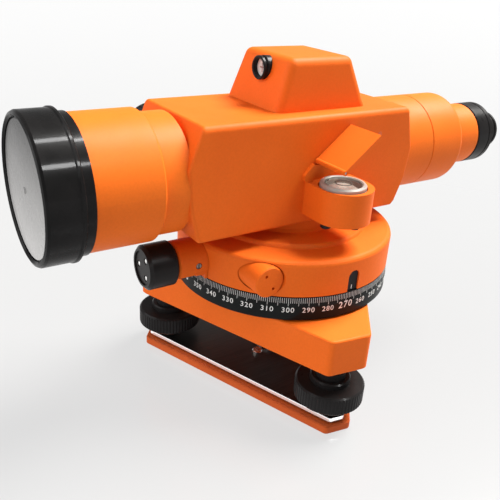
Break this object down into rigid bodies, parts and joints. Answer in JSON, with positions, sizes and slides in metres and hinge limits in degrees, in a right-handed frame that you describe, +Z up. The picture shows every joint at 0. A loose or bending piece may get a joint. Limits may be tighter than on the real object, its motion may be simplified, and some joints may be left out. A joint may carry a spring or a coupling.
{
  "type": "automatic level",
  "caption": "Surveyor's automatic level: telescope with focusing and eyepiece, circular vial with mirror, graduated circle, and a three-screw levelling base.",
  "frame": {"origin": "centre of the base plate's underside, at the mouth of the tripod thread, on the vertical axis", "axes": "+Z up along the vertical axis; the line of sight runs along -Y (objective at -Y, eyepiece at +Y); the circular vial stands out towards +X"},
  "size_m": [0.1379, 0.292, 0.1741],
  "materials": {
    "orange_casting": "satin orange powder coat on cast aluminium, fine grain",
    "orange_barrel": "smooth satin orange paint on turned aluminium",
    "black_plastic": "moulded black plastic, semi-gloss",
    "cap_plastic": "moulded black plastic, glossy",
    "circle_black": "black anodised with white engraved graduations",
    "black_anodised": "matt black anodised",
    "spring_steel": "ground and brushed steel plate",
    "steel": "turned steel",
    "bright_screw": "nickel plated",
    "brass": "turned brass",
    "lens_glass": "coated optical glass",
    "vial_metal": "satin nickel",
    "mirror": "silvered glass",
    "window_black": "matt black with white index line"
  },
  "bodies": {
    "base": {"base_plate": "orange_casting", "thread_bush": "steel", "spring_plate": "spring_steel", "plate_screws": "bright_screw"},
    "tribrach": {"tribrach": "orange_casting", "foot_bushes": "brass", "centre_sleeve": "steel"},
    "foot_shank_a": {"foot_shank_a": "steel"},
    "foot_wheel_a": {"foot_wheel_a": "black_plastic"},
    "foot_screw_b": {"foot_shank_b": "steel", "foot_wheel_b": "black_plastic"},
    "foot_screw_c": {"foot_shank_c": "steel", "foot_wheel_c": "black_plastic"},
    "circle": {"graduated_circle": "circle_black"},
    "alidade": {"drum_housing": "orange_casting", "vertical_axle": "steel", "axle_nut": "steel", "reading_window": "window_black", "motion_boss": "orange_casting", "boss_set_screw": "bright_screw", "drag_plug": "orange_casting", "drag_plunger": "brass", "azimuth_platform": "orange_casting", "main_housing": "orange_casting", "compensator_cover": "orange_casting", "sight_tube": "black_plastic", "sight_lens": "lens_glass", "sight_window": "lens_glass", "compensator_hanger": "steel", "front_collar": "orange_barrel", "objective_barrel": "orange_barrel", "objective_cell": "black_anodised", "flint_lens": "lens_glass", "crown_lens": "lens_glass", "rear_barrel": "orange_barrel", "eyepiece_housing": "orange_barrel", "reticle": "lens_glass", "ocular_sleeve": "black_anodised", "focus_bush": "black_anodised", "vial_housing": "orange_casting", "vial_case": "vial_metal", "vial_glass": "lens_glass", "vial_screws": "bright_screw", "mirror_bracket": "orange_casting", "flap_pin": "steel"},
    "crown_wheel": {"crown_wheel": "brass"},
    "motion_knob": {"motion_knob": "black_plastic", "motion_shaft": "steel"},
    "pendulum": {"pendulum_frame": "black_anodised", "compensator_prism": "lens_glass"},
    "objective_cap": {"objective_cap": "cap_plastic"},
    "diopter_ring": {"diopter_ring": "black_plastic"},
    "ocular": {"ocular": "black_plastic", "eye_lens": "lens_glass"},
    "focus_knob": {"focus_knob": "black_plastic", "focus_shaft": "steel"},
    "focus_carriage": {"focus_carriage": "black_anodised", "focus_lens": "lens_glass"},
    "mirror_flap": {"mirror_flap": "orange_casting", "mirror_glass": "mirror"}
  },
  "joints": [
    {"name": "level_tilt", "type": "hinge", "parent": "base", "child": "tribrach", "pos_m": [-0.03114, 0.00488, 0.0046], "axis": [-0.1547, -0.988, 0], "range_deg": [-1.52, 1.52]},
    {"name": "foot_screw_a_travel", "type": "slide", "parent": "tribrach", "child": "foot_shank_a", "axis": [0, 0, 1], "range_m": [-0.0026, 0.0026]},
    {"name": "foot_wheel_a_turn", "type": "hinge", "parent": "foot_shank_a", "child": "foot_wheel_a", "pos_m": [0.06229, -0.00975, 0.0196], "axis": [0, 0, 1], "range_deg": [-900, 900]},
    {"name": "foot_screw_b_turn", "type": "hinge", "parent": "tribrach", "child": "foot_screw_b", "pos_m": [-0.0227, 0.05882, 0.0196], "axis": [0, 0, 1], "range_deg": [-900, 900]},
    {"name": "foot_screw_c_turn", "type": "hinge", "parent": "tribrach", "child": "foot_screw_c", "pos_m": [-0.03959, -0.04907, 0.0196], "axis": [0, 0, 1], "range_deg": [-900, 900]},
    {"name": "circle_turn", "type": "hinge", "parent": "tribrach", "child": "circle", "pos_m": [0, 0, 0.063], "axis": [0, 0, 1], "continuous": true},
    {"name": "alidade_turn", "type": "hinge", "parent": "tribrach", "child": "alidade", "pos_m": [0, 0, 0.08], "axis": [0, 0, 1], "continuous": true},
    {"name": "crown_wheel_turn", "type": "hinge", "parent": "alidade", "child": "crown_wheel", "pos_m": [0, 0, 0.07], "axis": [0, 0, 1], "continuous": true},
    {"name": "motion_knob_turn", "type": "hinge", "parent": "alidade", "child": "motion_knob", "pos_m": [0.005, 0, 0.0777], "axis": [0, 1, 0], "continuous": true},
    {"name": "pendulum_swing", "type": "hinge", "parent": "alidade", "child": "pendulum", "pos_m": [-0.0015, 0.003, 0.15695], "axis": [1, 0, 0], "range_deg": [-1, 1]},
    {"name": "cap_pull", "type": "slide", "parent": "alidade", "child": "objective_cap", "axis": [0, -1, 0], "range_m": [0, 0.04]},
    {"name": "diopter_turn", "type": "hinge", "parent": "alidade", "child": "diopter_ring", "pos_m": [0, 0.135, 0.1223], "axis": [0, 1, 0], "range_deg": [-150, 150]},
    {"name": "ocular_travel", "type": "slide", "parent": "alidade", "child": "ocular", "axis": [0, 1, 0], "range_m": [-0.0019, 0.0019]},
    {"name": "focus_turn", "type": "hinge", "parent": "alidade", "child": "focus_knob", "pos_m": [-0.04, -0.056, 0.1273], "axis": [1, 0, 0], "range_deg": [-120, 120]},
    {"name": "focus_travel", "type": "slide", "parent": "alidade", "child": "focus_carriage", "axis": [0, 1, 0], "range_m": [-0.0106, 0.0106]},
    {"name": "mirror_turn", "type": "hinge", "parent": "alidade", "child": "mirror_flap", "pos_m": [0.04, -0.0058, 0.1285], "axis": [1, 0, 0], "range_deg": [-38, 50]}
  ],
  "couplings": [
    {"joint": "level_tilt", "follows": "foot_wheel_a_turn", "ratio": -0.0016828},
    {"joint": "foot_screw_a_travel", "follows": "foot_wheel_a_turn", "m_per_rad": 0.00015915},
    {"joint": "crown_wheel_turn", "follows": "motion_knob_turn", "ratio": -0.16667},
    {"joint": "ocular_travel", "follows": "diopter_turn", "m_per_rad": 0.0007},
    {"joint": "focus_travel", "follows": "focus_turn", "m_per_rad": 0.0048}
  ]
}
